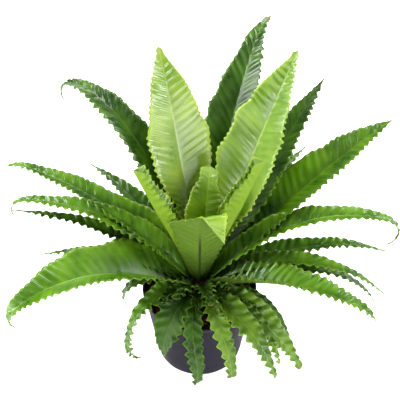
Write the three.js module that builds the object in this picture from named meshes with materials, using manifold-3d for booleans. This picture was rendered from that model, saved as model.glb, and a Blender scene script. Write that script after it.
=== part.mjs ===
// A crisped bird's nest fern in a round plastic nursery pot, in millimetres, +Z up.
// The origin is the centre of the pot's underside. Azimuth 0 is +X and grows anticlockwise seen from above.
// Every frond grows from a domed crown, bends along its midrib and is channelled like a shallow V.
import * as THREE from "three";
import { mergeVertices } from "three/addons/utils/BufferGeometryUtils.js";
import Module from "manifold-3d";

const wasm = await Module();
wasm.setup();

// ---- driving dimensions ----
const POT_HEIGHT = 110;
const RIM_RADIUS = 70;
const BASE_RADIUS = 52;
const WALL = 1.6;
const LIP_HEIGHT = 4; // bead round the rim
const LIP_STEP = 1.2; // how far the bead stands proud of the wall
const LIP_ROUND = 0.7; // rounding of the bead's edges
const FOOT_ROUND = 2; // rounding of the foot's edge
const DRAIN_HOLES = 8;
const DRAIN_RADIUS = 5;
const DRAIN_CIRCLE = 38;
const SOIL_LEVEL = 100;
const SOIL_MOUND = 4; // rise of the soil towards the crown
const SOIL_DIP = 4; // how far it sinks where it meets the wall
const SOIL_LUMP = 0.8; // height of its unevenness
const SOIL_RINGS = 6;
const CLEARANCE = 0.3; // gap left between touching pieces

const CROWN_RADIUS = 22;
const CROWN_CENTRE = 104;
const CROWN_FOOT = 86; // depth the crown reaches down into the soil

const STALK_WIDTH = 6;
const TIP_WIDTH = 1.2;
const MIDRIB_THICKNESS = 2.4;
const EDGE_THICKNESS = 0.8;
const TIP_CURL_FROM = 0.85; // share of the length where a curled tip starts
const WIDE_BLADE = 24; // blades wider than this are modelled with two strips each side of the midrib

const DEGREE = Math.PI / 180;

// ---- materials ----
const finish = (color, roughness) => new THREE.MeshStandardMaterial({ color, roughness, metalness: 0 });
const POT_PLASTIC = finish(0x48434f, 0.55);
const PEAT = finish(0x4a2a1c, 0.95);
const CROWN_SCALES = finish(0x33241a, 0.9);
const LEAF = { young: finish(0x8fbf3c, 0.35), middle: finish(0x5d9a2c, 0.35), old: finish(0x2f6417, 0.35) };

// ---- fronds ----
// azimuth: heading of the frond at the crown; sweep: change of heading by the tip
// rise: lean above the horizon at the crown; bend: loss of lean by the tip, as share of length ^ power
// curl: extra bend of the last part of the tip; peak: share of the length where the blade is widest
// fold: lift of each half blade from the midrib, at stalk and tip
// roll: turn of the blade about the midrib, at stalk and tip
const FRONDS = [
  { name: "heart_1", azimuth: 111, rise: 72, bend: 20, power: 1.5,
    length: 288, width: 70, peak: 0.62, tone: "young" },
  { name: "heart_2", azimuth: 42, rise: 65, bend: 6, power: 1.5,
    length: 304, width: 58, peak: 0.6, roll: [12, 14], tone: "young" },
  { name: "heart_3", azimuth: 68, rise: 81, bend: 4,
    length: 158, width: 38, fold: [22, 5], tone: "young" },
  { name: "heart_4", azimuth: 272, rise: 81, curl: 120,
    length: 164, width: 46, fold: [20, 5], tone: "young" },
  { name: "heart_5", azimuth: 184, rise: 70, length: 196, width: 28, tone: "young" },
  { name: "heart_6", azimuth: 0, rise: 71, length: 204, width: 28, tone: "young" },
  { name: "tall_1", azimuth: 73, sweep: -13, rise: 61, bend: 11, power: 2, curl: 90,
    length: 331, width: 46 },
  { name: "tall_2", azimuth: 45, sweep: -2, rise: 48, bend: 6, power: 2, length: 278, width: 42 },
  { name: "tall_3", azimuth: 138, sweep: 8, rise: 67, bend: 105, power: 2.8, curl: 60,
    length: 335, width: 38 },
  { name: "spread_1", azimuth: 25, sweep: -2, rise: 44, bend: 17, power: 1.5,
    length: 292, width: 57, tone: "middle" },
  { name: "spread_2", azimuth: 47, rise: 38, bend: 30, power: 2, length: 206, width: 30 },
  { name: "spread_3", azimuth: 5, sweep: -4, rise: 53, bend: 98, power: 1.4, curl: 110,
    length: 298, width: 30, tone: "middle" },
  { name: "spread_4", azimuth: 12, sweep: -8, rise: 32, bend: 56, power: 1.2,
    length: 226, width: 20, tone: "middle" },
  { name: "spread_5", azimuth: 358, sweep: -8, rise: 40, bend: 84, power: 1.2,
    length: 228, width: 15, tone: "middle" },
  { name: "spread_6", azimuth: 356, rise: 31.5, bend: 96, power: 1.6, length: 226, width: 16 },
  { name: "spread_7", azimuth: 337, sweep: 10, rise: 36, bend: 68, power: 1.1, curl: 40,
    length: 222, width: 40, tone: "middle" },
  { name: "spread_8", azimuth: 148, rise: 58, bend: 56, power: 0.9, curl: 75,
    length: 288, width: 37, tone: "middle" },
  { name: "spread_9", azimuth: 168, sweep: 1, rise: 54, bend: 84, power: 1.3, curl: 70,
    length: 268, width: 24, tone: "middle" },
  { name: "spread_10", azimuth: 171, sweep: 2, rise: 42, bend: 44, power: 1.3,
    length: 230, width: 16 },
  { name: "spread_11", azimuth: 138, rise: 48, bend: 45, power: 1.5, length: 186, width: 18 },
  { name: "spread_12", azimuth: 201, sweep: 6, rise: 39, bend: 88, power: 1.8, curl: 90,
    length: 266, width: 50, tone: "middle" },
  { name: "spread_13", azimuth: 187, rise: 35, bend: 50, power: 1.2, length: 184, width: 16 },
  { name: "spread_14", azimuth: 207, rise: 30, bend: 110, power: 2.4, length: 112, width: 16 },
  { name: "hanging_1", azimuth: 207, sweep: 20, rise: 24, bend: 146,
    length: 150, width: 22, tone: "middle" },
  { name: "hanging_2", azimuth: 236, sweep: 4, rise: 30, bend: 134, length: 108, width: 32 },
  { name: "hanging_3", azimuth: 257, sweep: 38, rise: 28, bend: 132, power: 0.9,
    length: 136, width: 26 },
  { name: "hanging_4", azimuth: 286, sweep: 14, rise: 30, bend: 118,
    length: 128, width: 24, tone: "middle" },
  { name: "hanging_5", azimuth: 328, rise: 19, bend: 74, power: 0.9,
    length: 150, width: 30, tone: "middle" },
  { name: "hanging_6", azimuth: 343, sweep: -12, rise: 18, bend: 84, length: 120, width: 20 },
  { name: "hanging_7", azimuth: 302, sweep: 12, rise: 24, bend: 96,
    length: 146, width: 22, tone: "middle" },
  { name: "hanging_8", azimuth: 314, sweep: 3, rise: 20, bend: 104,
    length: 138, width: 12, tone: "middle" },
  { name: "back_1", azimuth: 95, rise: 40, bend: 60, power: 1.5, length: 190, width: 30 },
  { name: "back_2", azimuth: 70, rise: 28, bend: 60, power: 1.2,
    length: 190, width: 26, tone: "middle" },
  { name: "back_3", azimuth: 120, rise: 26, bend: 66, power: 1.2, length: 190, width: 28 },
  { name: "back_4", azimuth: 150, rise: 18, bend: 80, power: 1.2,
    length: 170, width: 24, tone: "middle" },
  { name: "back_5", azimuth: 95, rise: 18, bend: 85, power: 1.1,
    length: 160, width: 24, tone: "middle" },
  { name: "back_6", azimuth: 30, rise: 16, bend: 80, power: 1.1, length: 150, width: 24 },
  { name: "back_7", azimuth: 62, rise: 18, bend: 86, power: 1.1, length: 150, width: 22 },
  { name: "back_8", azimuth: 124, rise: 14, bend: 84, power: 1.1,
    length: 150, width: 22, tone: "middle" },
];

// Values a frond takes where its row does not give them.
const USUAL = {
  sweep: 0, bend: 0, power: 1, curl: 0,
  peak: 0.58, fold: [35, 8], roll: [0, 0], tone: "old",
};

// ---- helpers ----
function solid(geometry) {
  const bare = geometry.clone();
  bare.deleteAttribute("normal");
  bare.deleteAttribute("uv");
  const merged = mergeVertices(bare, 1e-4);
  return new wasm.Manifold(
    new wasm.Mesh({
      numProp: 3,
      vertProperties: new Float32Array(merged.attributes.position.array),
      triVerts: new Uint32Array(merged.index.array),
    }),
  );
}

function geometryOf(manifold) {
  const mesh = manifold.getMesh();
  const geometry = new THREE.BufferGeometry();
  geometry.setAttribute("position", new THREE.BufferAttribute(new Float32Array(mesh.vertProperties), 3));
  geometry.setIndex(new THREE.BufferAttribute(new Uint32Array(mesh.triVerts), 1));
  geometry.computeVertexNormals();
  return geometry;
}

// A profile of [radius, height] pairs turned about the Z axis.
function turned(profile, segments) {
  const points = profile.map(([r, z]) => new THREE.Vector2(r, z));
  return new THREE.LatheGeometry(points, segments).rotateX(Math.PI / 2);
}

// Outer radius of the pot's wall at height z.
function potRadius(z) {
  const flare = (RIM_RADIUS - LIP_STEP - BASE_RADIUS) / (POT_HEIGHT - LIP_HEIGHT);
  return BASE_RADIUS + flare * z;
}

// ---- pot ----
function potGeometry() {
  const shoulder = POT_HEIGHT - LIP_HEIGHT;
  const wallTop = potRadius(shoulder);
  const mouth = RIM_RADIUS - LIP_STEP - LIP_ROUND; // inner radius at the top of the bead
  const shell = turned(
    [
      [0, 0],
      [BASE_RADIUS - FOOT_ROUND, 0],
      [BASE_RADIUS - FOOT_ROUND / 4, FOOT_ROUND / 3],
      [potRadius(FOOT_ROUND), FOOT_ROUND],
      [wallTop, shoulder],
      [RIM_RADIUS - LIP_ROUND / 2, shoulder + LIP_ROUND / 2],
      [RIM_RADIUS, shoulder + 2 * LIP_ROUND],
      [RIM_RADIUS, POT_HEIGHT - LIP_ROUND],
      [RIM_RADIUS - LIP_ROUND / 2, POT_HEIGHT],
      [mouth + LIP_ROUND / 2, POT_HEIGHT],
      [mouth, POT_HEIGHT - LIP_ROUND],
      [wallTop - WALL, shoulder - WALL],
      [potRadius(2 * WALL) - WALL, 2 * WALL],
      [BASE_RADIUS - WALL - FOOT_ROUND / 2, WALL],
      [0, WALL],
    ],
    56,
  );
  let pot = solid(shell);
  for (let i = 0; i < DRAIN_HOLES; i++) {
    const angle = (i / DRAIN_HOLES) * 2 * Math.PI;
    const hole = new THREE.CylinderGeometry(DRAIN_RADIUS, DRAIN_RADIUS, 4 * WALL, 14).rotateX(Math.PI / 2);
    hole.translate(DRAIN_CIRCLE * Math.cos(angle), DRAIN_CIRCLE * Math.sin(angle), WALL / 2);
    pot = pot.subtract(solid(hole));
  }
  return geometryOf(pot);
}

// ---- crown and soil ----
// grow enlarges the crown all round, for the pocket it leaves in the soil
function crownGeometry(grow = 0) {
  const radius = CROWN_RADIUS + grow;
  const profile = [[0, CROWN_FOOT - grow]];
  profile.push([radius * 0.55, CROWN_FOOT - grow]);
  for (let angle = -30; angle < 90; angle += 15)
    profile.push([radius * Math.cos(angle * DEGREE), CROWN_CENTRE + radius * Math.sin(angle * DEGREE)]);
  profile.push([0, CROWN_CENTRE + radius]);
  return turned(profile, 24);
}

function soilGeometry() {
  const gap = WALL + CLEARANCE;
  const bend = 4 * WALL; // height at which the soil clears the rounded corner inside the foot
  const edge = SOIL_LEVEL - SOIL_DIP;
  const reach = potRadius(edge) - gap - CLEARANCE;
  const profile = [[0, gap]];
  profile.push([BASE_RADIUS - 2 * FOOT_ROUND, gap]);
  profile.push([potRadius(bend) - gap - CLEARANCE, bend]);
  profile.push([reach, edge]);
  for (let ring = 0; ring < SOIL_RINGS; ring++) {
    const inward = ring / SOIL_RINGS;
    const height = SOIL_LEVEL - SOIL_DIP / 2 + inward * SOIL_MOUND + SOIL_LUMP * Math.sin(5 * ring);
    profile.push([(reach - 1) * (1 - inward), height]);
  }
  profile.push([0, SOIL_LEVEL + SOIL_MOUND]);
  return geometryOf(solid(turned(profile, 48)).subtract(solid(crownGeometry(CLEARANCE))));
}

// ---- one frond ----
// The midrib path: position, direction, sideways vector and upward normal at each station.
function midrib(frond, stations) {
  const heading = (t) => (frond.azimuth + frond.sweep * t) * DEGREE;
  const lean = (t) => {
    const tip = Math.max(0, (t - TIP_CURL_FROM) / (1 - TIP_CURL_FROM));
    return (frond.rise - frond.bend * t ** frond.power - frond.curl * tip ** 1.5) * DEGREE;
  };
  const direction = (t) =>
    new THREE.Vector3(
      Math.cos(lean(t)) * Math.cos(heading(t)),
      Math.cos(lean(t)) * Math.sin(heading(t)),
      Math.sin(lean(t)),
    );
  const frames = [];
  const substeps = 6;
  const stride = frond.length / stations / substeps;
  const point = direction(0)
    .multiplyScalar(CROWN_RADIUS + CLEARANCE)
    .add(new THREE.Vector3(0, 0, CROWN_CENTRE));
  for (let i = 0; i <= stations; i++) {
    const t = i / stations;
    const along = direction(t);
    const level = new THREE.Vector3(-Math.sin(heading(t)), Math.cos(heading(t)), 0);
    const turn = (frond.roll[0] + (frond.roll[1] - frond.roll[0]) * t) * DEGREE;
    const across = level.applyAxisAngle(along, turn);
    const up = new THREE.Vector3().crossVectors(along, across);
    frames.push({ t, point: point.clone(), along, across, up });
    for (let k = 0; k < substeps; k++) {
      const middle = (i + (k + 0.5) / substeps) / stations;
      point.addScaledVector(direction(middle), stride);
    }
  }
  return frames;
}

// Half width of the blade at share t of its length: a narrow stalk widening to a lens-shaped blade.
function halfWidth(frond, t) {
  const tail = Math.max(0.45, (1.35 * (1 - frond.peak)) / frond.peak);
  const head = (tail * frond.peak) / (1 - frond.peak);
  const lens = (t ** head * (1 - t) ** tail) / (frond.peak ** head * (1 - frond.peak) ** tail);
  const least = t < frond.peak ? STALK_WIDTH : TIP_WIDTH;
  return Math.max(frond.width * lens, least) / 2;
}

function frondGeometry(row) {
  const frond = { ...USUAL, ...row };
  const wide = frond.width > WIDE_BLADE;
  const columns = wide ? [-1, -0.5, 0, 0.5, 1] : [-1, 0, 1];
  const stations = wide ? 14 : 12;
  const ring = [];
  for (const { t, point, across, up } of midrib(frond, stations)) {
    const half = halfWidth(frond, t);
    const fold = (frond.fold[0] + (frond.fold[1] - frond.fold[0]) * t) * DEGREE;
    const taper = t > 0.9 ? 1 - 6 * (t - 0.9) : 1;
    const place = (side, lift) =>
      point
        .clone()
        .addScaledVector(across, side * half * Math.cos(fold))
        .addScaledVector(up, Math.abs(side) * half * Math.sin(fold) + lift);
    const thinning = MIDRIB_THICKNESS - EDGE_THICKNESS;
    const thickness = (side) => (MIDRIB_THICKNESS - thinning * Math.abs(side)) * taper;
    const top = columns.map((side) => place(side, thickness(side) / 2));
    const bottom = columns.map((side) => place(side, -thickness(side) / 2)).reverse();
    ring.push([...top, ...bottom]);
  }
  const around = ring[0].length;
  const positions = ring.flat().flatMap((p) => [p.x, p.y, p.z]);
  const faces = [];
  for (let i = 0; i < stations; i++)
    for (let j = 0; j < around; j++) {
      const a = i * around + j;
      const b = i * around + ((j + 1) % around);
      faces.push(a, a + around, b, b, a + around, b + around);
    }
  const last = stations * around;
  for (let j = 0; j < columns.length - 1; j++) {
    const [a, b, c, d] = [j, j + 1, around - 2 - j, around - 1 - j];
    faces.push(a, b, c, a, c, d);
    faces.push(last + a, last + c, last + b, last + a, last + d, last + c);
  }
  const geometry = new THREE.BufferGeometry();
  geometry.setAttribute("position", new THREE.Float32BufferAttribute(positions, 3));
  geometry.setIndex(faces);
  geometry.computeVertexNormals();
  return geometry;
}

// ---- assembly ----
const fern = new THREE.Group();
fern.name = "potted_fern";

function add(parent, name, geometry, material) {
  const mesh = new THREE.Mesh(geometry, material);
  mesh.name = name;
  parent.add(mesh);
}

const container = new THREE.Group();
add(container, "pot", potGeometry(), POT_PLASTIC);
add(container, "soil", soilGeometry(), PEAT);
fern.add(container);

const plant = new THREE.Group();
add(plant, "crown", crownGeometry(), CROWN_SCALES);
for (const row of FRONDS) add(plant, `frond_${row.name}`, frondGeometry(row), LEAF[row.tone ?? USUAL.tone]);
fern.add(plant);

export default fern;
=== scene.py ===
import math
import random
import bmesh
import bpy
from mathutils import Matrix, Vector, noise


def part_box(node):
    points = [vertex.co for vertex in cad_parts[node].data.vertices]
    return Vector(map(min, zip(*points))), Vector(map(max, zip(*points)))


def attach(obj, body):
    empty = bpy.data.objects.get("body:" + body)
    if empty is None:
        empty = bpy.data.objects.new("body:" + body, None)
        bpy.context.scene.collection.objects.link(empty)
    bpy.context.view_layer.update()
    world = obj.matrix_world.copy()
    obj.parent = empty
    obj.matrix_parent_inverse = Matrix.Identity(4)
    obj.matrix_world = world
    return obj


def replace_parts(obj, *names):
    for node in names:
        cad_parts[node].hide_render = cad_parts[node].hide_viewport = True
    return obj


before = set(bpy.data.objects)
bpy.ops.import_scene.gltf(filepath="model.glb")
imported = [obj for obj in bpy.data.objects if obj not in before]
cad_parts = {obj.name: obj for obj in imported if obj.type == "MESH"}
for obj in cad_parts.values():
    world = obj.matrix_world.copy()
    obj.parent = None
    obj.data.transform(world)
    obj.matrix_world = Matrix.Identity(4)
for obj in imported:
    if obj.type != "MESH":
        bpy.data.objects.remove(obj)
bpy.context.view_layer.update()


# ---- Pot ----
# A thin-walled, tapered nursery pot, injection-moulded in matt dark plastic with a violet cast.
# It has a small bead round the rim, faint ribs from the mould, and drainage holes in its underside.
MM = 0.001
pot_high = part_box("pot")[1]
POT_HEIGHT = pot_high.z
RIM_RADIUS = pot_high.x
BASE_RADIUS = 0.743 * RIM_RADIUS
FOOT_ROUND = 3 * MM
BEAD = 3.5 * MM
BEAD_STEP = 1.2 * MM
MOULD_RIB = 0.12 * MM
WALL = 1.6 * MM
AXIS_GAP = 1 * MM  # the turned profile starts and ends just off the axis
DRAIN_HOLES = 8
DRAIN_RADIUS = 5 * MM
DRAIN_CIRCLE = 38 * MM


def add_node(tree, kind, settings=None, **inputs):
    """Adds a shader node. An input is a plain value or the socket that feeds it; _2 is input number 2."""
    made = tree.nodes.new(kind)
    for key, value in (settings or {}).items():
        setattr(made, key, value)
    for key, value in inputs.items():
        socket = made.inputs[int(key[1:]) if key[0] == "_" else key.replace("_", " ")]
        if isinstance(value, bpy.types.NodeSocket):
            tree.links.new(value, socket)
        else:
            socket.default_value = value
    return made


def new_material(name):
    material = bpy.data.materials.new(name)
    material.use_nodes = True
    return material, material.node_tree, material.node_tree.nodes["Principled BSDF"]


def own_place(tree):
    return add_node(tree, "ShaderNodeTexCoord").outputs["Object"]


def blotches(tree, place, scale, detail=2.0):
    """A cloudy value round one half; a larger scale gives smaller blotches."""
    return add_node(tree, "ShaderNodeTexNoise", Vector=place, Scale=scale, Detail=detail).outputs["Fac"]


def blend_colours(tree, amount, first, second):
    made = add_node(tree, "ShaderNodeMix", {"data_type": "RGBA"}, _0=amount, _6=first, _7=second)
    return made.outputs[2]


def remap(tree, value, low, high, to_low=0.0, to_high=1.0):
    made = add_node(tree, "ShaderNodeMapRange", Value=value)
    for key, number in (("From Min", low), ("From Max", high), ("To Min", to_low), ("To Max", to_high)):
        made.inputs[key].default_value = number
    return made.outputs[0]


def roughen(tree, shader, height, strength, depth):
    """Makes the surface catch the light as if it had this relief, which is depth metres deep."""
    bump = add_node(tree, "ShaderNodeBump", Height=height, Strength=strength, Distance=depth)
    tree.links.new(bump.outputs[0], shader.inputs["Normal"])


def srgb(red, green, blue):
    """A colour from everyday 0 to 255 values."""
    shares = (red / 255, green / 255, blue / 255)
    linear = [((c + 0.055) / 1.055) ** 2.4 if c > 0.04 else c / 12.92 for c in shares]
    return (*linear, 1.0)


def new_object(name, vertices, faces, material, smooth=True):
    mesh = bpy.data.meshes.new(name)
    mesh.from_pydata(vertices, [], faces)
    mesh.validate()
    mesh.materials.append(material)
    mesh.polygons.foreach_set("use_smooth", [smooth] * len(mesh.polygons))
    made = bpy.data.objects.new(name, mesh)
    bpy.context.scene.collection.objects.link(made)
    return made


def turned(profile, segments):
    """Vertices and faces of a closed (radius, height) profile turned about the vertical axis."""
    vertices = [
        (r * math.cos(2 * math.pi * k / segments), r * math.sin(2 * math.pi * k / segments), z)
        for r, z in profile
        for k in range(segments)
    ]
    count = len(profile)
    faces = []
    for i in range(count - 1):
        for k in range(segments):
            a, b = i * segments + k, i * segments + (k + 1) % segments
            faces.append((a, b, b + segments, a + segments))
    faces.append(tuple(reversed(range(segments))))
    faces.append(tuple(range((count - 1) * segments, count * segments)))
    return vertices, faces


def wall_radius(z):
    return BASE_RADIUS + (RIM_RADIUS - BEAD_STEP - BASE_RADIUS) * z / POT_HEIGHT


def pot_profile():
    """From the middle of the underside, up the outside, over the bead and down the inside."""
    flat = BASE_RADIUS - FOOT_ROUND
    points = [(AXIS_GAP, 0), (flat, 0)]
    for k in range(1, 7):
        turn = math.radians(15 * k)
        points.append((flat + FOOT_ROUND * math.sin(turn), FOOT_ROUND * (1 - math.cos(turn))))
    shoulder = POT_HEIGHT - BEAD
    for k in range(1, 15):
        z = FOOT_ROUND + (shoulder - FOOT_ROUND) * k / 14
        points.append((wall_radius(z) + MOULD_RIB * (k % 2), z))
    half = BEAD / 2
    for k in range(9):
        turn = math.radians(-60 + 30 * k)
        around, high = half * math.cos(turn), half * math.sin(turn)
        points.append((RIM_RADIUS - half + around, POT_HEIGHT - half + high))
    for z in (shoulder - 2 * MM, 0.6 * POT_HEIGHT, 0.3 * POT_HEIGHT, WALL + 2 * MM):
        points.append((wall_radius(z) - WALL, z))
    points += [(BASE_RADIUS - WALL - 2 * MM, WALL), (AXIS_GAP, WALL)]
    return points


def pot_plastic():
    material, tree, shader = new_material("pot_plastic")
    place = own_place(tree)
    cloud = blotches(tree, place, 28.0, 4.0)
    grain = blotches(tree, place, 1400.0, 2.0)
    scuffs = blotches(tree, place, 90.0, 6.0)
    colour = blend_colours(tree, cloud, srgb(19, 16, 27), srgb(26, 23, 35))
    dust = remap(tree, scuffs, 0.62, 0.75, 0.0, 0.25)
    tree.links.new(blend_colours(tree, dust, colour, srgb(50, 46, 56)), shader.inputs["Base Color"])
    tree.links.new(remap(tree, cloud, 0.3, 0.7, 0.42, 0.56), shader.inputs["Roughness"])
    roughen(tree, shader, grain, 0.25, 0.0002)
    shader.inputs["Specular IOR Level"].default_value = 0.06
    return material


pot = new_object("nursery_pot", *turned(pot_profile(), 160), pot_plastic())
holes = bmesh.new()
for k in range(DRAIN_HOLES):
    angle = 2 * math.pi * k / DRAIN_HOLES
    ring = bmesh.ops.create_cone(
        holes, cap_ends=True, segments=28, radius1=DRAIN_RADIUS, radius2=DRAIN_RADIUS, depth=6 * WALL
    )
    shift = Vector((DRAIN_CIRCLE * math.cos(angle), DRAIN_CIRCLE * math.sin(angle), WALL / 2))
    bmesh.ops.translate(holes, verts=ring["verts"], vec=shift)
hole_mesh = bpy.data.meshes.new("drain_holes")
holes.to_mesh(hole_mesh)
holes.free()
punch = bpy.data.objects.new("drain_holes", hole_mesh)
bpy.context.scene.collection.objects.link(punch)
cut = pot.modifiers.new("drainage", "BOOLEAN")
cut.object = punch
cut.solver = "EXACT"
punched = bpy.data.meshes.new_from_object(pot.evaluated_get(bpy.context.evaluated_depsgraph_get()))
pot.modifiers.clear()
pot.data = punched
bpy.data.objects.remove(punch)
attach(pot, "root")
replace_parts(pot, "pot")


# ---- Soil ----
# Damp reddish-brown peat with lumps, crumbs and pale coir fibres, filled to just under the rim.
# The lumpy block fills the pot; loose crumbs and fibres lie on it.
MOUND = 3 * MM
SOIL_GAP = 0.4 * MM
SOIL_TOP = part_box("soil")[1].z - MOUND
SOIL_RADIUS = wall_radius(SOIL_TOP) - WALL - SOIL_GAP
CRUMBS = 900
FIBRES = 260
dice = random.Random(7)


def soil_height(x, y):
    """Height of the soil's surface: a low mound with lumps of several sizes."""
    reach = math.hypot(x, y) / SOIL_RADIUS
    place = Vector((x, y, 0))
    sizes = ((2.4, 16), (1.3, 6), (0.6, 2.5))  # height and width of the lumps, in millimetres
    lumps = sum(high * noise.noise(place / (wide * MM)) for high, wide in sizes)
    mound = MOUND * (1 - reach**2) - MOUND / 2
    return SOIL_TOP + mound + MM * lumps * min(1, 4 * (1 - reach) + 0.3)


def soil_block():
    rings, segments = 44, 120
    vertices = []
    for i in range(rings + 1):
        r = max(SOIL_RADIUS * i / rings, 0.2 * MM)
        for k in range(segments):
            angle = 2 * math.pi * k / segments
            x, y = r * math.cos(angle), r * math.sin(angle)
            vertices.append((x, y, soil_height(x, y)))
    for z in (0.7 * POT_HEIGHT, 0.35 * POT_HEIGHT, WALL + SOIL_GAP):
        r = wall_radius(z) - WALL - 0.5 * MM
        for k in range(segments):
            angle = 2 * math.pi * k / segments
            vertices.append((r * math.cos(angle), r * math.sin(angle), z))
    faces = []
    rows = rings + 4
    for i in range(rows - 1):
        for k in range(segments):
            a, b = i * segments + k, i * segments + (k + 1) % segments
            faces.append((a, a + segments, b + segments, b))
    faces.append(tuple(range(segments)))
    faces.append(tuple(reversed(range((rows - 1) * segments, rows * segments))))
    return vertices, faces


def peat():
    material, tree, shader = new_material("peat")
    place = own_place(tree)
    lumps = blotches(tree, place, 220.0, 8.0)
    patches = blotches(tree, place, 55.0, 3.0)
    cells = add_node(tree, "ShaderNodeTexVoronoi", Vector=place, Scale=420.0).outputs["Distance"]
    dark = blend_colours(tree, remap(tree, lumps, 0.35, 0.7), srgb(44, 18, 14), srgb(138, 64, 42))
    colour = blend_colours(tree, remap(tree, patches, 0.5, 0.7, 0.0, 0.6), dark, srgb(160, 80, 48))
    tree.links.new(colour, shader.inputs["Base Color"])
    tree.links.new(remap(tree, patches, 0.3, 0.7, 0.75, 0.95), shader.inputs["Roughness"])
    roughen(tree, shader, cells, 0.8, 0.001)
    return material


def crumb_parts():
    """Loose crumbs: small knocked-about lumps, each a squashed icosahedron."""
    ball = bmesh.new()
    bmesh.ops.create_icosphere(ball, subdivisions=1, radius=1.0)
    shape = [v.co.copy() for v in ball.verts]
    sides = [tuple(v.index for v in f.verts) for f in ball.faces]
    ball.free()
    vertices, faces = [], []
    for _ in range(CRUMBS):
        r = (SOIL_RADIUS - 2 * MM) * math.sqrt(dice.random())
        angle = dice.uniform(0, 2 * math.pi)
        size = MM * dice.choice((0.5, 0.7, 0.9, 1.2, 1.8))
        centre = Vector((r * math.cos(angle), r * math.sin(angle), 0))
        centre.z = soil_height(centre.x, centre.y) + 0.3 * size
        first = len(vertices)
        for corner in shape:
            knock = 1 + 0.35 * noise.noise(corner * 1.7 + centre * 300)
            squash = Vector((corner.x, corner.y * 0.8, corner.z * 0.6))
            vertices.append(centre + squash * (size * knock))
        faces += [tuple(first + c for c in side) for side in sides]
    return vertices, faces


def fibre_parts():
    """Coir fibres: thin bent strands, four-sided, lying on the soil."""
    vertices, faces = [], []
    for _ in range(FIBRES):
        r = (SOIL_RADIUS - 6 * MM) * math.sqrt(dice.random())
        angle = dice.uniform(0, 2 * math.pi)
        heading, bend = dice.uniform(0, 2 * math.pi), dice.uniform(-2.0, 2.0)
        length, thick = MM * dice.uniform(4, 13), MM * dice.uniform(0.12, 0.3)
        x, y = r * math.cos(angle), r * math.sin(angle)
        first, steps = len(vertices), 6
        for i in range(steps + 1):
            turn = heading + bend * i / steps
            z = soil_height(x, y) + MM * (0.5 + 0.9 * math.sin(math.pi * i / steps))
            for k in range(4):
                round_it = math.pi / 2 * k
                across, high = thick * math.cos(round_it), thick * math.sin(round_it)
                vertices.append((x - across * math.sin(turn), y + across * math.cos(turn), z + high))
            x += length / steps * math.cos(turn)
            y += length / steps * math.sin(turn)
        for i in range(steps):
            for k in range(4):
                a, b = first + 4 * i + k, first + 4 * i + (k + 1) % 4
                faces.append((a, b, b + 4, a + 4))
        faces.append(tuple(first + k for k in (3, 2, 1, 0)))
        faces.append(tuple(first + 4 * steps + k for k in range(4)))
    return vertices, faces


def coir():
    material, tree, shader = new_material("coir")
    place = own_place(tree)
    streaks = blotches(tree, place, 130.0, 3.0)
    colour = blend_colours(tree, remap(tree, streaks, 0.35, 0.65), srgb(112, 60, 34), srgb(196, 140, 92))
    tree.links.new(colour, shader.inputs["Base Color"])
    shader.inputs["Roughness"].default_value = 0.8
    return material


peat_material = peat()
soil = new_object("soil_block", *soil_block(), peat_material)
crumbs = new_object("soil_crumbs", *crumb_parts(), peat_material)
fibres = new_object("coir_fibres", *fibre_parts(), coir())
for piece in (soil, crumbs, fibres):
    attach(piece, "root")
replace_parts(soil, "soil")


# ---- Crown ----
# The short dark heart of the plant, half sunk in the soil: a knob covered in papery brown scales
# and the stubs of old stalks, from which every frond grows.
crown_low, crown_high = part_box("crown")
CROWN_RADIUS = crown_high.x
CROWN_CENTRE = crown_high.z - CROWN_RADIUS
SCALES = 420
STUBS = 26


def crown_point(turn, lift, reach):
    return Vector((
        reach * math.cos(lift) * math.cos(turn),
        reach * math.cos(lift) * math.sin(turn),
        CROWN_CENTRE + reach * math.sin(lift),
    ))


def crown_core():
    core = 0.86 * CROWN_RADIUS
    profile = [(0.5 * CROWN_RADIUS, crown_low.z)]
    for angle in range(-30, 90, 6):
        lift = math.radians(angle)
        profile.append((core * math.cos(lift), CROWN_CENTRE + core * math.sin(lift)))
    vertices, faces = turned(profile, 64)
    vertices = [Vector(v) for v in vertices]
    middle = Vector((0, 0, CROWN_CENTRE))
    return [middle + (v - middle) * (1 + 0.07 * noise.noise(v * 260)) for v in vertices], faces


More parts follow.
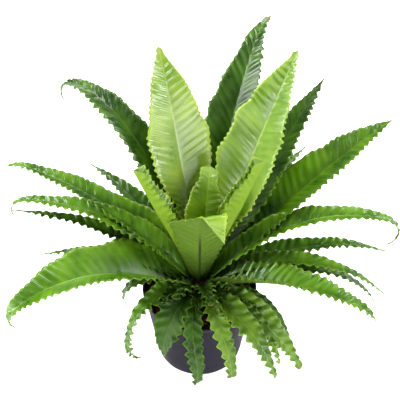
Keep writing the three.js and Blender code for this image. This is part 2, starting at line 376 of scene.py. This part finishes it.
def scale_parts():
    """Narrow papery scales that lie up the knob, each a thin folded lance."""
    vertices, faces = [], []
    for _ in range(SCALES):
        turn = dice.uniform(0, 2 * math.pi)
        lift = math.asin(dice.uniform(-0.05, 0.97))
        root = crown_point(turn, lift, 0.84 * CROWN_RADIUS)
        outward = (root - Vector((0, 0, CROWN_CENTRE))).normalized()
        upward = Vector((0, 0, 1)) - outward * outward.z
        upward = upward.normalized() if upward.length > 0.1 else Vector((1, 0, 0))
        aside = outward.cross(upward) * dice.choice((-1, 1))
        upward = (upward + aside * dice.uniform(-0.6, 0.6)).normalized()
        aside = outward.cross(upward)
        length, width = MM * dice.uniform(4, 8), MM * dice.uniform(0.5, 0.9)
        flare = dice.uniform(0.15, 0.6)
        first = len(vertices)
        for share, spread in ((0, 0.7), (0.35, 1), (0.7, 0.6), (1, 0.05)):
            centre = root + upward * (length * share) + outward * (length * flare * share**1.5)
            for side in (-1, 0, 1):
                crease = -0.35 * width * (1 - abs(side))
                for skin in (0, 1):
                    thick = 0.15 * MM * (skin - 0.5)
                    vertices.append(centre + aside * (side * spread * width) + outward * (crease + thick))
        for i in range(3):
            for k in range(2):
                a = first + 6 * i + 2 * k
                faces.append((a + 1, a + 3, a + 9, a + 7))
                faces.append((a, a + 6, a + 8, a + 2))
            left, right = first + 6 * i, first + 6 * i + 4
            faces.append((left, left + 1, left + 7, left + 6))
            faces.append((right, right + 6, right + 7, right + 1))
        for end, order in ((first, 1), (first + 18, -1)):
            faces.append(tuple((end, end + 2, end + 3, end + 1)[::order]))
            faces.append(tuple((end + 2, end + 4, end + 5, end + 3)[::order]))
    return vertices, faces


def stub_parts():
    """Cut and withered stalk bases round the foot of the knob: short ragged pegs."""
    middle = Vector((0, 0, CROWN_CENTRE))
    vertices, faces = [], []
    for k in range(STUBS):
        turn = 2 * math.pi * (k + dice.uniform(-0.3, 0.3)) / STUBS
        lift = math.radians(dice.uniform(-8, 30))
        outward = crown_point(turn, lift, 1.0) - middle
        aside = outward.cross(Vector((0, 0, 1))).normalized()
        other = outward.cross(aside).normalized()
        thick = MM * dice.uniform(1.3, 2.1)
        first, rings, sides = len(vertices), 4, 8
        for i in range(rings + 1):
            reach = 0.8 * CROWN_RADIUS + CROWN_RADIUS * 0.24 * i / rings
            for s in range(sides):
                angle = 2 * math.pi * s / sides
                ragged = (1 + 0.25 * noise.noise(Vector((k, s, i)))) * (1 - 0.12 * i)
                end = MM * 1.2 * noise.noise(Vector((s * 1.3, k * 2.1, 0))) if i == rings else 0
                ring = aside * math.cos(angle) * 1.3 + other * math.sin(angle)
                vertices.append(middle + outward * (reach + end) + ring * (thick * ragged))
        for i in range(rings):
            for s in range(sides):
                a, b = first + sides * i + s, first + sides * i + (s + 1) % sides
                faces.append((a, a + sides, b + sides, b))
        faces.append(tuple(first + s for s in range(sides)))
        faces.append(tuple(first + sides * rings + s for s in reversed(range(sides))))
    return vertices, faces


def crown_scale():
    material, tree, shader = new_material("crown_scale")
    place = own_place(tree)
    patches = blotches(tree, place, 180.0, 4.0)
    colour = blend_colours(tree, remap(tree, patches, 0.35, 0.68), srgb(26, 17, 12), srgb(84, 56, 34))
    tree.links.new(colour, shader.inputs["Base Color"])
    tree.links.new(remap(tree, patches, 0.3, 0.7, 0.65, 0.85), shader.inputs["Roughness"])
    roughen(tree, shader, patches, 0.4, 0.001)
    return material


scale_material = crown_scale()
core = new_object("crown_core", *crown_core(), scale_material)
scales = new_object("crown_scales", *scale_parts(), scale_material, smooth=False)
stubs = new_object("stalk_stubs", *stub_parts(), scale_material)
for piece in (core, scales, stubs):
    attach(piece, "root")
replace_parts(core, "crown")


# ---- Heart fronds ----
# The youngest fronds grow straight up from the top of the crown: thin, springy blades of bright
# yellow-green with a pale raised midrib, slanting pleats and a finely crisped edge. One has folded over
# at the top and shows its back.
STALK = 6  # this and the other sizes of fronds are in millimetres
STALK_THICK = 2.4
BLADE_THICK = 0.5
TIP_WIDTH = 2
STATION = 1.6  # from one row of points to the next along the midrib
WISP_ROWS = 10  # rows of points along a thread-like tip
COLUMNS = 12  # strips on each side of the midrib
CROWDING = 1.35  # how much narrower the strips are beside the midrib
RIB_HEIGHT = 0.55
RIB_WIDTH = 1.1
VEIN_SPACING = 2.3


def smooth_step(value, low, high):
    share = min(1.0, max(0.0, (value - low) / (high - low)))
    return share * share * (3 - 2 * share)


def wander(place, seed):
    """A smooth value from -1 to 1 that changes along the frond."""
    return max(-1.0, min(1.0, 1.6 * noise.noise(Vector((place, seed * 7.31, seed * 1.77)))))


def frond_frames(frond, stations, wisp_stations):
    """Points along the midrib with the directions along, across and up, in millimetres."""
    frames = []
    length, wisp = frond["length"], frond["wisp"]
    point = None
    for i in range(stations + wisp_stations + 1):
        t = min(1.0, i / stations)
        beyond = max(0, i - stations) / max(1, wisp_stations)
        step = length / stations if i < stations else wisp / max(1, wisp_stations)
        tip = min(1.0, max(0.0, (t - frond["curl_from"]) / frond["curl_span"]))
        lean = frond["rise"] - frond["bend"] * t ** frond["power"] - frond["curl"] * tip**1.5
        lean += frond["wobble"] * wander(5 * t, frond["seed"]) * smooth_step(t, 0.1, 0.4)
        lean -= frond["wisp_turn"] * beyond
        heading = frond["azimuth"] + frond["sweep"] * t + frond["wisp_swing"] * beyond
        heading += frond["wobble"] * wander(5 * t, frond["seed"] + 50) * smooth_step(t, 0.1, 0.4)
        e, a = math.radians(lean), math.radians(heading)
        along = Vector((math.cos(e) * math.cos(a), math.cos(e) * math.sin(a), math.sin(e)))
        if point is None:
            point = Vector((0, 0, CROWN_CENTRE / MM)) + along * (CROWN_RADIUS / MM - 2)
        roll = frond["roll"][0] + (frond["roll"][1] - frond["roll"][0]) * t
        roll += 2 * frond["wobble"] * wander(4 * t, frond["seed"] + 20) * smooth_step(t, 0.15, 0.5)
        r = math.radians(roll)
        level = Vector((-math.sin(a), math.cos(a), 0))
        upper = along.cross(level)
        across = level * math.cos(r) + upper * math.sin(r)
        slide = frond["slide"] * max(0.0, (t - frond["curl_from"]) / (1 - frond["curl_from"]))
        frames.append((t, beyond, point + across * slide, across, along.cross(across)))
        point += along * step
    return frames


def half_width(frond, t):
    """Half the width of the blade: a narrow stalk that opens into a lens, widest at the peak."""
    peak = frond["peak"]
    if t < peak:
        lens = (1 - (1 - t / peak) ** 2) ** frond["flare"]
        return max(frond["width"] * lens, STALK) / 2
    lens = 1 - ((t - peak) / (1 - peak)) ** frond["point"]
    lens = max(lens, frond["blunt"] * (1 - smooth_step(t, 0.985, 1.0)))
    return max(frond["width"] * lens, TIP_WIDTH) / 2


def frond_mesh(frond):
    """The blade as a closed skin: an upper and a lower face joined round the edge."""
    stations = max(60, int(frond["length"] / STATION))
    frames = frond_frames(frond, stations, WISP_ROWS if frond["wisp"] else 0)
    seed = frond["seed"]
    bend_from = frond["curl_from"]
    shares = [j / COLUMNS for j in range(-COLUMNS, COLUMNS + 1)]
    sides = [math.copysign(abs(share) ** CROWDING, share) for share in shares]
    upper, lower, facts = [], [], []
    for t, beyond, point, across, up in frames:
        half = half_width(frond, t) if not beyond else TIP_WIDTH / 2 * (1 - 0.65 * beyond)
        distance = t * frond["length"]
        fold = math.radians(frond["fold"][0] + (frond["fold"][1] - frond["fold"][0]) * t)
        blade = smooth_step(t, 0.05, 0.2) * (1 - smooth_step(t, 0.93, 1.0)) * (1 if not beyond else 0)
        stalk = 1 - smooth_step(t, 0.0, 0.22)
        swell = 1 + 0.5 * wander(distance / 45, seed + 3)
        for v in sides:
            out = abs(v)
            hand = 1 if v > 0 else -1
            x = v * half
            if hand < 0:
                x *= 1 - frond["flap"] * smooth_step(t, bend_from - 0.08, bend_from + 0.02)
            vein = distance - abs(x) * frond["slant"]
            phase = 2 * math.pi * vein / frond["wave"] + 0.9 * hand
            phase += 2.2 * wander(vein / 30, seed + 10 * hand)
            lively = 1 + 0.6 * wander(vein / 19, seed + 31 * hand)
            crest = math.sin(phase) + 0.3 * math.sin(1.7 * phase + seed)
            ruffle = frond["ruffle"] * lively * out**2.6 * blade * crest
            pleat = frond["pleat"] * swell * math.sin(0.8 * phase) * min(1, 3 * out) * (1 - out**2) * blade
            quilt = frond["quilt"] * wander(vein / 30, seed + 60 * hand) * math.sin(math.pi * out) * blade
            scallop = 1.6 * abs(math.cos(phase / 2 + 0.4)) - 1
            lobe = 1 + frond["lobe"] / max(half, 4) * scallop * out**3 * blade * lively
            lobe += 0.1 * wander(distance / 22, seed + 90 * hand) * out**2 * blade
            keel = RIB_HEIGHT * math.exp(-((x / RIB_WIDTH) ** 2)) * (1 - 0.7 * t)
            lift = abs(x) * (1 - 0.12 * out) * lobe * math.sin(fold)
            tilt = fold * min(1, 4 * out)
            normal = up * math.cos(tilt) - across * (hand * math.sin(tilt))
            centre = point + across * (x * lobe * math.cos(fold)) + up * lift
            centre += normal * (ruffle + pleat + quilt)
            thick = BLADE_THICK + (STALK_THICK - BLADE_THICK) * stalk * math.sqrt(max(0, 1 - out**2))
            thick += 2 * keel * (1 if not beyond else 0)
            upper.append((centre + normal * (0.35 * thick)) * MM)
            lower.append((centre - normal * (0.65 * thick)) * MM)
            facts.append((x, vein, out, t))
    row = len(sides)
    vertices = upper + lower
    under = len(upper)
    faces = []
    for i in range(len(frames) - 1):
        for j in range(row - 1):
            a = i * row + j
            faces.append((a, a + row, a + row + 1, a + 1))
            faces.append((under + a, under + a + 1, under + a + row + 1, under + a + row))
        a, b = i * row, i * row + row - 1
        faces.append((a, under + a, under + a + row, a + row))
        faces.append((b, b + row, under + b + row, under + b))
    last = (len(frames) - 1) * row
    for j in range(row - 1):
        faces.append((j, j + 1, under + j + 1, under + j))
        faces.append((last + j, under + last + j, under + last + j + 1, last + j + 1))
    return vertices, faces, facts


def leaf(name, light, dark, rib, edge, back, gloss, shine=0.5, dry=0.8):
    """Fern blade: mottled green, slanting veins, a paler midrib and edge, a duller back, painted shade at
    the foot.
    """
    material, tree, shader = new_material(name)

    def fact(key):
        return add_node(tree, "ShaderNodeAttribute", {"attribute_name": key}).outputs["Fac"]

    def sums(kind, first, second=0.0):
        return add_node(tree, "ShaderNodeMath", {"operation": kind}, _0=first, _1=second).outputs[0]

    place = own_place(tree)
    clouds = blotches(tree, place, 34.0, 3.0)
    specks = blotches(tree, place, 260.0, 4.0)
    drift = sums("MULTIPLY", specks, 2.4)
    veins = sums("MULTIPLY", fact("vein"), 2 * math.pi / VEIN_SPACING)
    fine_vein = sums("SINE", sums("ADD", veins, drift))
    colour = blend_colours(tree, remap(tree, clouds, 0.36, 0.66), dark, light)
    colour = blend_colours(tree, remap(tree, fine_vein, 0.2, 1.0, 0.0, 0.22), colour, dark)
    colour = blend_colours(tree, remap(tree, specks, 0.55, 0.75, 0.0, 0.25), colour, light)
    colour = blend_colours(tree, remap(tree, fact("out"), 0.8, 1.0, 0.0, 0.55), colour, edge)
    near_rib = sums("ABSOLUTE", fact("side"))
    colour = blend_colours(tree, remap(tree, near_rib, 1.0, 0.3, 0.0, 0.5), colour, rib)
    stalk_base, dry_tip = srgb(38, 28, 16), srgb(120, 92, 40)
    # Painted shade: the upper side turns to its dark green towards the foot, where the fronds crowd at the
    # crown.
    colour = blend_colours(tree, remap(tree, fact("share"), 0.28, 0.0, 0.0, 0.75), colour, dark)
    colour = blend_colours(tree, remap(tree, fact("share"), 0.055, 0.0, 0.0, 0.9), colour, stalk_base)
    colour = blend_colours(tree, remap(tree, fact("share"), 0.975, 1.0, 0.0, dry), colour, dry_tip)
    groove = sums("MULTIPLY", remap(tree, near_rib, 1.9, 0.9), remap(tree, fact("share"), 0.62, 0.45))
    # A dark groove along the back's midrib, and a deep green that is painted shade on the back towards the
    # foot.
    dark_rib, painted_foot_shade = srgb(30, 40, 8), srgb(32, 52, 4)
    underside = blend_colours(tree, groove, back, dark_rib)
    foot_shade_mask = remap(tree, fact("share"), 0.4, 0.1, 0.0, 0.8)
    underside = blend_colours(tree, foot_shade_mask, underside, painted_foot_shade)
    colour = blend_colours(tree, fact("under"), colour, underside)
    tree.links.new(colour, shader.inputs["Base Color"])
    rough = remap(tree, clouds, 0.3, 0.7, gloss - 0.05, gloss + 0.09)
    rough = sums("ADD", rough, sums("MULTIPLY", fact("under"), 0.18))
    tree.links.new(rough, shader.inputs["Roughness"])
    height = sums("ADD", sums("MULTIPLY", fine_vein, 0.5), specks)
    roughen(tree, shader, height, 0.22, 0.0006)
    tree.links.new(remap(tree, fact("under"), 0.0, 1.0, shine, 0.2), shader.inputs["Specular IOR Level"])
    shader.inputs["Subsurface Weight"].default_value = 0.12
    shader.inputs["Subsurface Radius"].default_value = (0.3, 1.0, 0.1)
    shader.inputs["Subsurface Scale"].default_value = 0.0015
    return material


# What a frond has unless its own row says otherwise: degrees, millimetres and shares of its length.
usual = {
    "sweep": 0, "bend": 0, "power": 1, "curl": 0, "curl_from": 0.85, "curl_span": 0.15,
    "slide": 0, "flap": 0, "peak": 0.6, "flare": 2.5, "point": 1.6, "blunt": 0,
    "fold": (35, 12), "roll": (0, 0), "wisp": 0, "wisp_turn": 0, "wisp_swing": 0, "wobble": 0,
    "wave": 11, "ruffle": 1.8, "pleat": 0.8, "quilt": 0.8, "lobe": 1.4, "slant": 0.55,
}
grown = 0


def blades(name, material, shapes):
    """One piece made of one or more fronds, with the facts that its material needs at every point."""
    global grown
    vertices, faces, facts = [], [], []
    for shape in shapes:
        grown += 1
        points, sides, told = frond_mesh({**usual, **shape, "seed": grown})
        faces += [tuple(len(vertices) + corner for corner in side) for side in sides]
        vertices += points
        facts += [fact + (0.0,) for fact in told] + [fact + (1.0,) for fact in told]
    piece = new_object(name, vertices, faces, material)
    for index, key in enumerate(("side", "vein", "out", "share", "under")):
        layer = piece.data.attributes.new(key, "FLOAT", "POINT")
        layer.data.foreach_set("value", [fact[index] for fact in facts])
    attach(piece, "root")
    return piece


def grow(name, material, slot, **shape):
    """One frond, in the place of the rough solid of the same name."""
    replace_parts(blades(name, material, [shape]), "frond_" + name)


young = leaf("young_leaf", srgb(124, 150, 36), srgb(92, 124, 16), srgb(150, 172, 74),
             srgb(156, 178, 54), srgb(94, 120, 26), 0.3, 0.95, 0.3)
fresh = leaf("fresh_leaf", srgb(110, 144, 16), srgb(80, 116, 6), srgb(140, 164, 58), srgb(146, 170, 40),
             srgb(98, 126, 26), 0.32, 0.75, 0.2)
bowed = leaf("bowed_leaf", srgb(130, 158, 36), srgb(96, 130, 12), srgb(150, 172, 74),
             srgb(156, 178, 54), srgb(70, 96, 14), 0.36, 0.5, 0.2)
heart = {"wave": 7.5, "ruffle": 1.1, "pleat": 0.5, "quilt": 1.6, "lobe": 1.1, "fold": (35, 8),
         "blunt": 0.12}
folded = {**heart, "fold": (76, 62), "flare": 0.7, "blunt": 0.6, "point": 2.6, "ruffle": 2.8,
          "peak": 0.5, "quilt": 0.8, "lobe": 2.6, "wave": 9}
grow("heart_1", young, "leaf_young", azimuth=111, rise=72, bend=20, power=1.5, length=288, width=76,
     peak=0.62, **{**heart, "flare": 3.2})
grow("heart_2", fresh, "leaf_young", azimuth=42, rise=65, bend=6, power=1.5, length=304, width=84,
     peak=0.55, **{**heart, "flare": 2.2, "pleat": 1.2, "roll": (12, 14), "fold": (36, 26)})
grow("heart_3", fresh, "leaf_young", azimuth=68, rise=81, bend=4, length=158, width=48, peak=0.62,
     **{**heart, "flare": 1.5, "fold": (22, 10), "blunt": 0.45})
grow("heart_4", bowed, "leaf_young", azimuth=272, rise=81, length=164, width=66, peak=0.74, curl=150,
     curl_from=0.76, curl_span=0.06, slide=27, flap=0.9,
     **{**heart, "flare": 0.75, "point": 1.0, "fold": (24, 6), "blunt": 0})
grow("heart_5", fresh, "leaf_young", azimuth=184, rise=70, length=194, width=52, **folded)
grow("heart_6", fresh, "leaf_young", azimuth=0, rise=71, length=202, width=52, **folded)


# ---- Tall fronds ----
# Three old, dark fronds that grow from the crown behind the heart: leathery and glossy, with deep
# slanting pleats. The tallest and the one that arches to the left end in thin, dry, hooked tips.
old = leaf("old_leaf", srgb(62, 100, 2), srgb(26, 58, 0), srgb(84, 116, 24), srgb(90, 124, 22),
           srgb(82, 108, 26), 0.3)
tall = {"wave": 10, "ruffle": 1.6, "pleat": 1.3, "slant": 1.0, "lobe": 1.4, "flare": 1.2, "peak": 0.5}
grow("tall_1", old, "leaf_old", azimuth=73, sweep=-15, rise=61, bend=11, power=2, curl=60, length=330,
     width=70, wisp=20, wisp_turn=50, wisp_swing=-70, blunt=0.12, **tall)
grow("tall_2", old, "leaf_old", azimuth=45, sweep=-2, rise=48, bend=6, power=2, length=278, width=54,
     **tall)
grow("tall_3", old, "leaf_old", azimuth=136, sweep=8, rise=67, bend=105, power=2.8, curl=60, length=335,
     width=46, wisp=10, wisp_turn=60, **tall)


# ---- Spreading fronds ----
# Full-grown fronds that grow from the sides of the crown and arch out over the rim. The broad ones are
# channelled, mid green and glossy; the narrow ones are mid or dark green, strongly crisped, and end in
# thin curled tips.
middle = leaf("middle_leaf", srgb(89, 132, 3), srgb(47, 88, 0), srgb(100, 132, 26), srgb(110, 142, 26),
              srgb(80, 102, 30), 0.3)
broad = {"wave": 9, "ruffle": 1.5, "pleat": 1.0, "lobe": 1.3, "fold": (38, 22), "flare": 0.5, "peak": 0.4,
         "point": 1.3}
narrow = {"wave": 10, "ruffle": 1.5, "lobe": 1.3, "wobble": 3, "flare": 0.5, "peak": 0.35, "point": 1.1,
          "fold": (38, 28), "wisp": 12, "wisp_turn": 50, "wisp_swing": 30}
grow("spread_1", middle, "leaf_middle", azimuth=25, sweep=-2, rise=43, bend=17, power=1.5, length=292,
     width=64, **{**broad, "peak": 0.5, "point": 2.2})
grow("spread_2", old, "leaf_old", azimuth=47, rise=38, bend=30, power=2, length=206, width=34, **broad)
grow("spread_3", middle, "leaf_middle", azimuth=6, sweep=-4, rise=53, bend=98, power=1.4, curl=110,
     curl_from=0.8, curl_span=0.2, length=298, width=44, **{**narrow, "wisp": 0})
grow("spread_4", middle, "leaf_middle", azimuth=11, sweep=-8, rise=32, bend=56, power=1.2, length=226,
     width=36, **narrow)
grow("spread_5", middle, "leaf_middle", azimuth=358, sweep=-8, rise=40, bend=84, power=1.2, length=228,
     width=32, **narrow)
grow("spread_6", old, "leaf_old", azimuth=357, rise=29, bend=96, power=1.6, length=226, width=28,
     **narrow)
grow("spread_7", middle, "leaf_middle", azimuth=336, sweep=11, rise=37, bend=68, power=1.1, curl=40,
     length=222, width=56,
     **{**broad, "flare": 0.28, "fold": (58, 30), "roll": (-13, -4), "ruffle": 2.8, "lobe": 2.6})
grow("spread_8", middle, "leaf_middle", azimuth=158, rise=53, bend=56, power=0.9, curl=75, length=288,
     width=56, **{**broad, "peak": 0.3, "point": 1.0})
grow("spread_9", middle, "leaf_middle", azimuth=167, sweep=1, rise=54, bend=84, power=1.3, curl=80,
     length=272, width=42, **narrow)
grow("spread_10", old, "leaf_old", azimuth=170, sweep=2, rise=43, bend=44, power=1.3, length=230,
     width=34, **narrow)
grow("spread_11", old, "leaf_old", azimuth=140, rise=48, bend=45, power=1.5, length=188, width=48,
     **narrow)
grow("spread_12", middle, "leaf_middle", azimuth=201, sweep=6, rise=39, bend=88, power=1.8, curl=90,
     length=266, width=84, **{**broad, "fold": (45, 25)})
grow("spread_13", old, "leaf_old", azimuth=184, rise=43, bend=50, power=1.2, length=184, width=30,
     **narrow)
grow("spread_14", old, "leaf_old", azimuth=200, rise=42, bend=160, power=2.4, length=112, width=30,
     **{**narrow, "wisp_turn": -90})


# ---- Hanging fronds ----
# Short, strongly crisped fronds that grow low on the front of the crown, arch over the rim and hang down
# beside the pot without touching its wall. Their blades are thin and leathery and mid green; some are a
# paler olive green that is partly painted sheen, and some a darker green that is painted shade.
# A paler olive green: partly the fronds' own tone, partly painted sheen.
olive_and_sheen = leaf("olive_and_sheen_leaf", srgb(94, 128, 20), srgb(56, 90, 6), srgb(112, 140, 50), srgb(118, 148, 46),
            srgb(110, 132, 54), 0.38, 0.35)
# A darker copy of the mid green: painted shade for fronds in the shadow of others and for the crown curls.
painted_shade_green = leaf("painted_shade_leaf", srgb(50, 86, 2), srgb(22, 50, 0), srgb(80, 112, 20), srgb(84, 118, 22),
              srgb(84, 110, 30), 0.45, 0.25)
crisp = {"wave": 11, "ruffle": 2.8, "lobe": 1.5, "wobble": 5, "flare": 0.5, "peak": 0.35, "point": 1.5,
         "fold": (35, 15), "blunt": 0.25}
grow("hanging_1", middle, "leaf_middle", azimuth=207, sweep=20, rise=30, bend=156, length=160, width=34,
     **{**crisp, "peak": 0.22, "point": 0.5, "wisp": 12, "wobble": 8})
grow("hanging_2", painted_shade_green, "leaf_old", azimuth=240, sweep=2, rise=30, bend=134, length=106, width=38,
     **{**crisp, "point": 1.3, "peak": 0.5, "blunt": 0.1})
grow("hanging_3", painted_shade_green, "leaf_old", azimuth=258, sweep=40, rise=28, bend=132, power=0.9, length=134,
     width=25, **{**crisp, "point": 2.2, "blunt": 0.5, "lobe": 1.8})
grow("hanging_4", olive_and_sheen, "leaf_middle", azimuth=286, sweep=14, rise=30, bend=118, length=128, width=24,
     **{**crisp, "point": 2.2, "blunt": 0.5})
grow("hanging_5", olive_and_sheen, "leaf_middle", azimuth=325, rise=16, bend=70, power=0.9, length=150, width=44,
     **crisp)
grow("hanging_6", painted_shade_green, "leaf_old", azimuth=340, sweep=-12, rise=18, bend=84, length=120, width=30,
     **crisp)
grow("hanging_7", olive_and_sheen, "leaf_middle", azimuth=306, sweep=12, rise=24, bend=96, length=146, width=34,
     **crisp)
grow("hanging_8", olive_and_sheen, "leaf_middle", azimuth=321, sweep=6, rise=20, bend=104, length=138, width=24,
     **crisp)


# ---- Back fronds ----
# Plain channelled blades, mid and dark green, that grow low on the back of the crown and arch over the
# rim. They fill out the rosette behind the heart.
grow("back_1", old, "leaf_old", azimuth=95, rise=40, bend=60, power=1.5, length=190, width=30, **broad)
grow("back_2", middle, "leaf_middle", azimuth=70, rise=28, bend=60, power=1.2, length=190, width=26,
     **broad)
grow("back_3", old, "leaf_old", azimuth=120, rise=26, bend=66, power=1.2, length=190, width=28, **broad)
grow("back_4", middle, "leaf_middle", azimuth=150, rise=18, bend=80, power=1.2, length=170, width=24,
     **broad)
grow("back_5", middle, "leaf_middle", azimuth=95, rise=18, bend=85, power=1.1, length=160, width=24,
     **broad)
grow("back_6", old, "leaf_old", azimuth=30, rise=16, bend=80, power=1.1, length=150, width=24, **broad)
grow("back_7", old, "leaf_old", azimuth=62, rise=18, bend=86, power=1.1, length=150, width=22, **broad)
grow("back_8", middle, "leaf_middle", azimuth=124, rise=14, bend=84, power=1.1, length=150, width=22,
     **broad)


# ---- Crown curls ----
# Small stunted fronds crowded round the crown between the big stalks: tightly crisped, a few centimetres
# long, and in the darker green that is painted shade.
CURLS = 22
stunted = {"bend": 66, "width": 22, "flare": 0.4, "peak": 0.4, "blunt": 0.4, "fold": (35, 10), "wave": 9,
           "ruffle": 2.6, "lobe": 2}
curls = [
    {**stunted, "azimuth": 12 + 16 * k, "rise": 22 + 16 * (k % 3), "length": 38 + 5 * (k * 7 % 4)}
    for k in range(CURLS)
]
# Painted shade: the curls take the darker copy of the mid green.
blades("crown_curls", painted_shade_green, curls)


# ---- Floor, light and camera ----
# A plain white paper floor under soft studio light. The key lamp stands at the left, a long low lamp in
# front lights the fronds that hang, a third lamp stands at the right, and a fourth hangs high behind.
def paper_white():
    material, tree, shader = new_material("floor_white")
    place = own_place(tree)
    grain = blotches(tree, place, 6.0)
    colour = blend_colours(tree, grain, srgb(246, 246, 246), srgb(250, 250, 250))
    tree.links.new(colour, shader.inputs["Base Color"])
    shader.inputs["Roughness"].default_value = 0.9
    shader.inputs["Emission Color"].default_value = (1, 1, 1, 1)
    shader.inputs["Emission Strength"].default_value = 0.5
    return material


FLOOR_REACH = 30
corners = [(x * FLOOR_REACH, y * FLOOR_REACH, 0) for x, y in ((-1, -1), (1, -1), (1, 1), (-1, 1))]
floor = new_object("floor", corners, [(0, 1, 2, 3)], paper_white())

world = bpy.data.worlds.new("studio")
world.use_nodes = True
sky = world.node_tree.nodes["Background"]
sky.inputs["Color"].default_value = (1, 1, 1, 1)
sky.inputs["Strength"].default_value = 0.25
bpy.context.scene.world = world


def lamp(name, place, aim, size, power):
    light = bpy.data.lights.new(name, "AREA")
    light.shape = "RECTANGLE"
    light.size, light.size_y = size
    light.energy = power
    made = bpy.data.objects.new(name, light)
    made.location = place
    made.rotation_mode = "QUATERNION"
    made.rotation_quaternion = (Vector(aim) - Vector(place)).to_track_quat("-Z", "Y")
    bpy.context.scene.collection.objects.link(made)


lamp("key_lamp", (-2.2, -0.4, 1.2), (0, 0.05, 0.2), (1.3, 1.1), 98)
lamp("low_lamp", (1.0, -2.0, 0.45), (0, 0, 0.25), (2.2, 0.7), 56)
lamp("side_lamp", (2.2, 0.3, 1.3), (0, 0, 0.2), (1.0, 1.0), 58)
lamp("top_lamp", (0.1, 1.2, 2.4), (0, 0, 0.1), (1.6, 1.2), 90)

scene = bpy.context.scene
scene.view_settings.view_transform = "Standard"
LENS = 100
TILT = math.radians(43.5)
DISTANCE = 1.364
AIM = Vector((0, 0, POT_HEIGHT))
DROP = 0.0774  # how far the aim sits below the middle of the view, as a share of the distance
ASIDE = -0.00045  # how far the view is moved along x, as a share of the distance
camera_data = bpy.data.cameras.new("camera")
camera_data.lens = LENS
camera_data.sensor_width = 36
camera_data.clip_start = 0.05
camera_data.clip_end = 100
camera = bpy.data.objects.new("camera", camera_data)
forward = Vector((0, math.cos(TILT), -math.sin(TILT)))
upward = Vector((0, math.sin(TILT), math.cos(TILT)))
camera.location = AIM - DISTANCE * (forward + ASIDE * Vector((1, 0, 0)) - DROP * upward)
camera.rotation_mode = "QUATERNION"
camera.rotation_quaternion = forward.to_track_quat("-Z", "Y")
scene.collection.objects.link(camera)
scene.camera = camera
